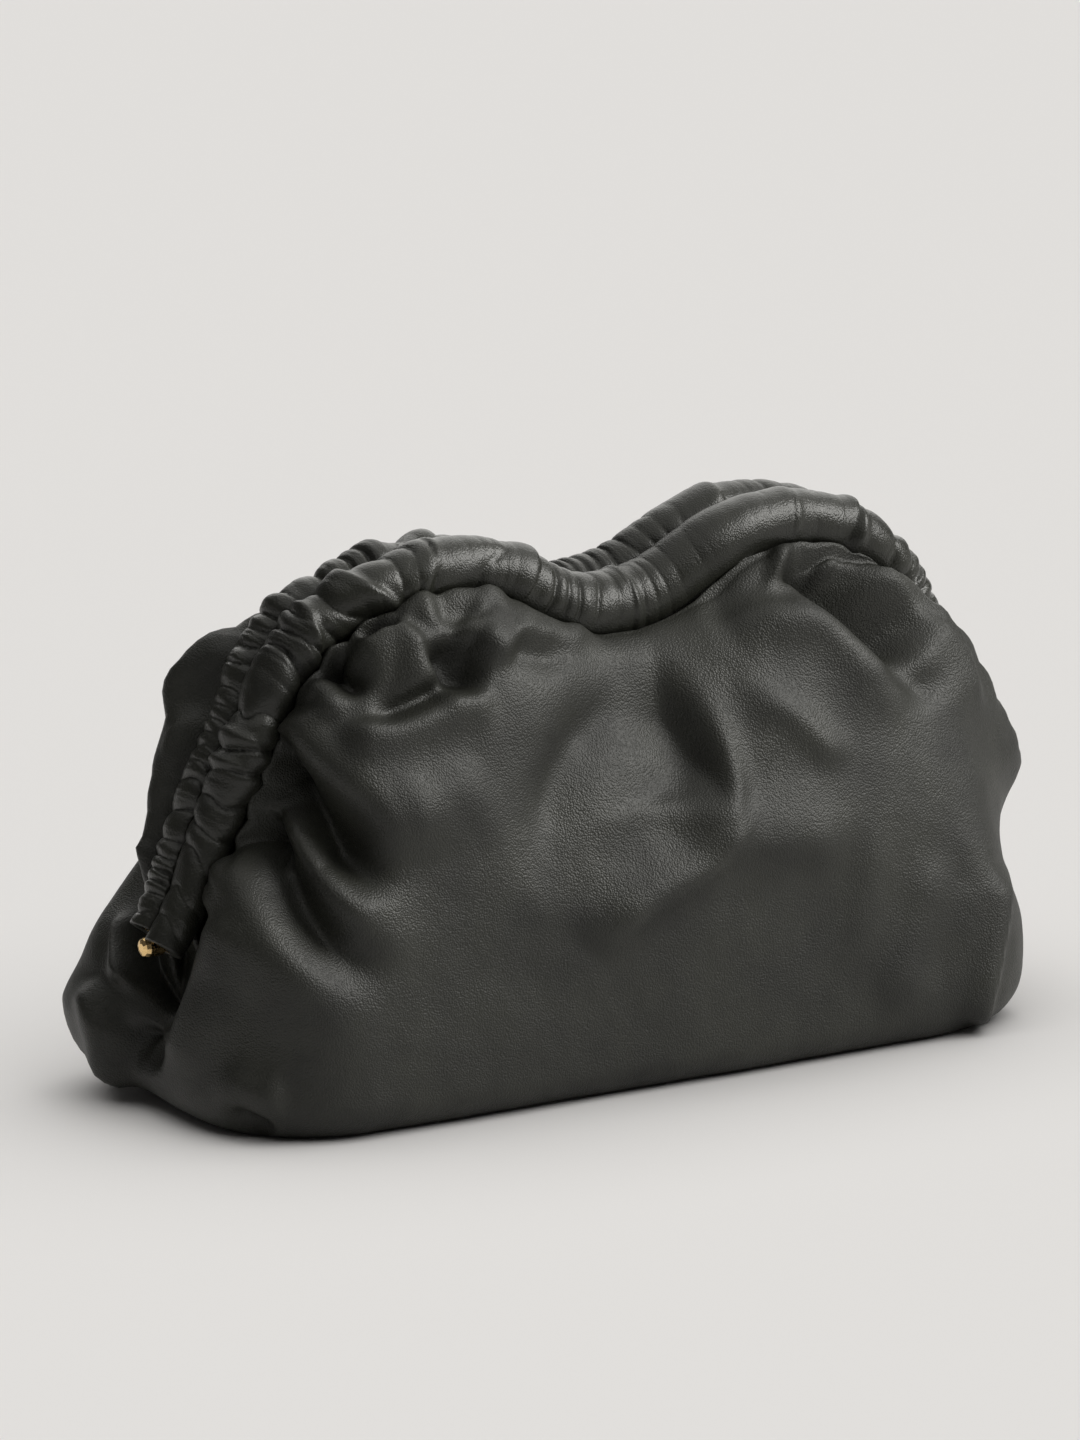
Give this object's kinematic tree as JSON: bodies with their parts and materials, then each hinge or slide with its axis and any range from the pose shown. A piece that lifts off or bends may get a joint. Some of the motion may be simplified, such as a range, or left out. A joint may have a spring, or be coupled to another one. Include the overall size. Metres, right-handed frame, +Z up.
{
  "type": "gathered leather clutch bag",
  "caption": "Soft slouching leather clutch bag with a flat base, gathered onto a double-humped wire frame hidden in ruched leather sleeves, shown closed.",
  "frame": {"origin": "on the flat base, under the dip of the frame, in the middle of the bag's depth", "axes": "+X along the bag to the right as seen from the front, +Y to the back, +Z up"},
  "size_m": [0.3428, 0.1289, 0.1813],
  "materials": {
    "leather": "soft satin with a fine pebbled grain",
    "sleeve_leather": "soft satin with a fine pebbled grain, ruched",
    "gold_metal": "polished gold tone"
  },
  "bodies": {
    "root": {"body": "leather", "front_sleeve": "sleeve_leather", "back_sleeve": "sleeve_leather", "front_frame": "gold_metal", "back_frame": "gold_metal", "hinge_left": "gold_metal", "hinge_right": "gold_metal"}
  },
  "joints": []
}
